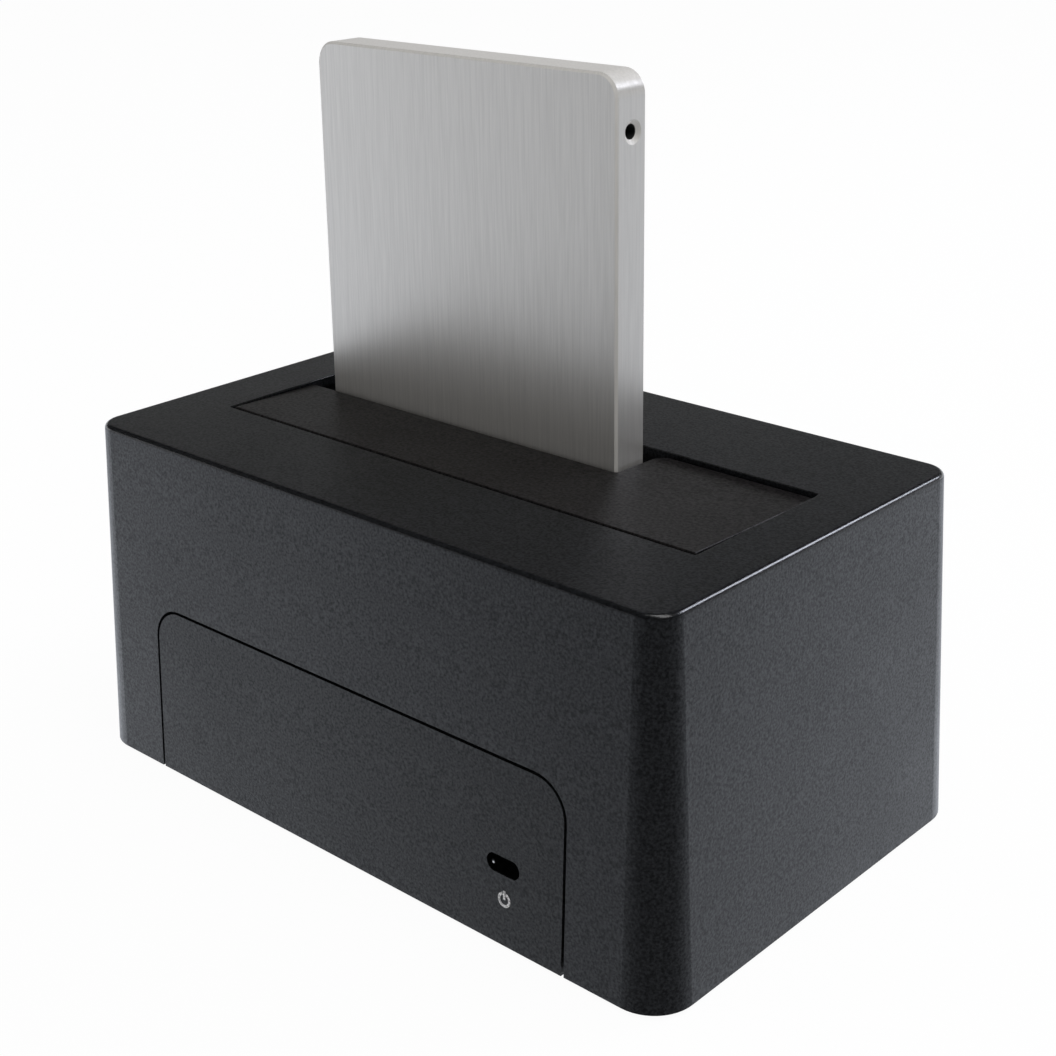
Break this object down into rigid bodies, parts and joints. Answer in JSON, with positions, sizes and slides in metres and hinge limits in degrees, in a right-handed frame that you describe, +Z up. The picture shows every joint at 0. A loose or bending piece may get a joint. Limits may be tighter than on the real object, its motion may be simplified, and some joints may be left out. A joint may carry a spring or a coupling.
{
  "type": "hard drive docking station",
  "caption": "Desktop docking station in black plastic with a sprung flap over its bay and a bare 2.5 inch drive standing upright in it.",
  "frame": {"origin": "on the table under the middle of the casing, level with the underside of the feet", "axes": "+X to the right along the front panel, +Y from the front panel to the back panel, +Z up out of the bay"},
  "size_m": [0.1358, 0.0832, 0.1289],
  "materials": {
    "casing_plastic": "fine textured satin black ABS",
    "panel_plastic": "fine textured satin black ABS",
    "flap_plastic": "fine textured satin black ABS",
    "liner_plastic": "matte black ABS",
    "button_plastic": "gloss black",
    "clear_plastic": "frosted clear",
    "connector_plastic": "black glass-filled nylon",
    "usb_plastic": "blue",
    "switch_plastic": "satin",
    "rubber_foot": "matte",
    "hinge_steel": "ground bright steel",
    "spring_steel": "drawn spring wire",
    "screw_steel": "zinc plated",
    "port_steel": "nickel plated",
    "contact_gold": "gold plated",
    "board_laminate": "green solder mask",
    "chip_epoxy": "moulded epoxy",
    "can_metal": "drawn can",
    "drive_metal": "brushed along its length",
    "drive_cover_metal": "brushed along its length"
  },
  "bodies": {
    "dock": {"top_shell": "casing_plastic", "front_panel": "panel_plastic", "rear_panel": "panel_plastic", "base_plate": "casing_plastic", "bay_liner": "liner_plastic", "flap_pin": "hinge_steel", "flap_spring_left": "spring_steel", "flap_spring_right": "spring_steel", "main_board": "board_laminate", "sata_socket": "connector_plastic", "sata_contacts": "contact_gold", "bridge_chip": "chip_epoxy", "flash_chip": "chip_epoxy", "crystal": "can_metal", "voltage_regulator": "chip_epoxy", "power_inductor": "chip_epoxy", "capacitors": "can_metal", "usb_shell": "port_steel", "usb_tongues": "usb_plastic", "dc_jack_body": "connector_plastic", "dc_jack_pin": "port_steel", "dc_jack_spring": "port_steel", "switch_body": "switch_plastic", "button_board": "board_laminate", "status_led": "clear_plastic", "board_header": "connector_plastic", "button_board_screws": "screw_steel", "board_screws": "screw_steel", "liner_screws": "screw_steel", "case_screws": "screw_steel", "foot_1": "rubber_foot", "foot_2": "rubber_foot", "foot_3": "rubber_foot", "foot_4": "rubber_foot"},
    "flap": {"flap": "flap_plastic"},
    "power_button": {"power_button": "button_plastic", "light_pipe": "clear_plastic", "switch_plunger": "switch_plastic"},
    "drive": {"drive_case": "drive_metal", "drive_cover": "drive_cover_metal", "drive_board": "board_laminate", "drive_chips": "chip_epoxy", "drive_plug": "connector_plastic", "drive_plug_contacts": "contact_gold", "drive_board_screws": "screw_steel", "drive_cover_screws": "screw_steel"}
  },
  "joints": [
    {"name": "flap_hinge", "type": "hinge", "parent": "dock", "child": "flap", "pos_m": [0, -0.0194, 0.0604], "axis": [-1, 0, 0], "range_deg": [0, 88], "stiffness_Nm_per_rad": 0.0007, "springref_deg": -91.67, "deforming": ["flap_spring_left", "flap_spring_right"]},
    {"name": "power_button_press", "type": "slide", "parent": "dock", "child": "power_button", "axis": [0, 1, 0], "range_m": [0, 0.0006], "stiffness_N_per_m": 1500, "springref_m": -0.0004},
    {"name": "drive_lift", "type": "slide", "parent": "dock", "child": "drive", "axis": [0, 0, 1], "range_m": [0, 0.04]}
  ]
}
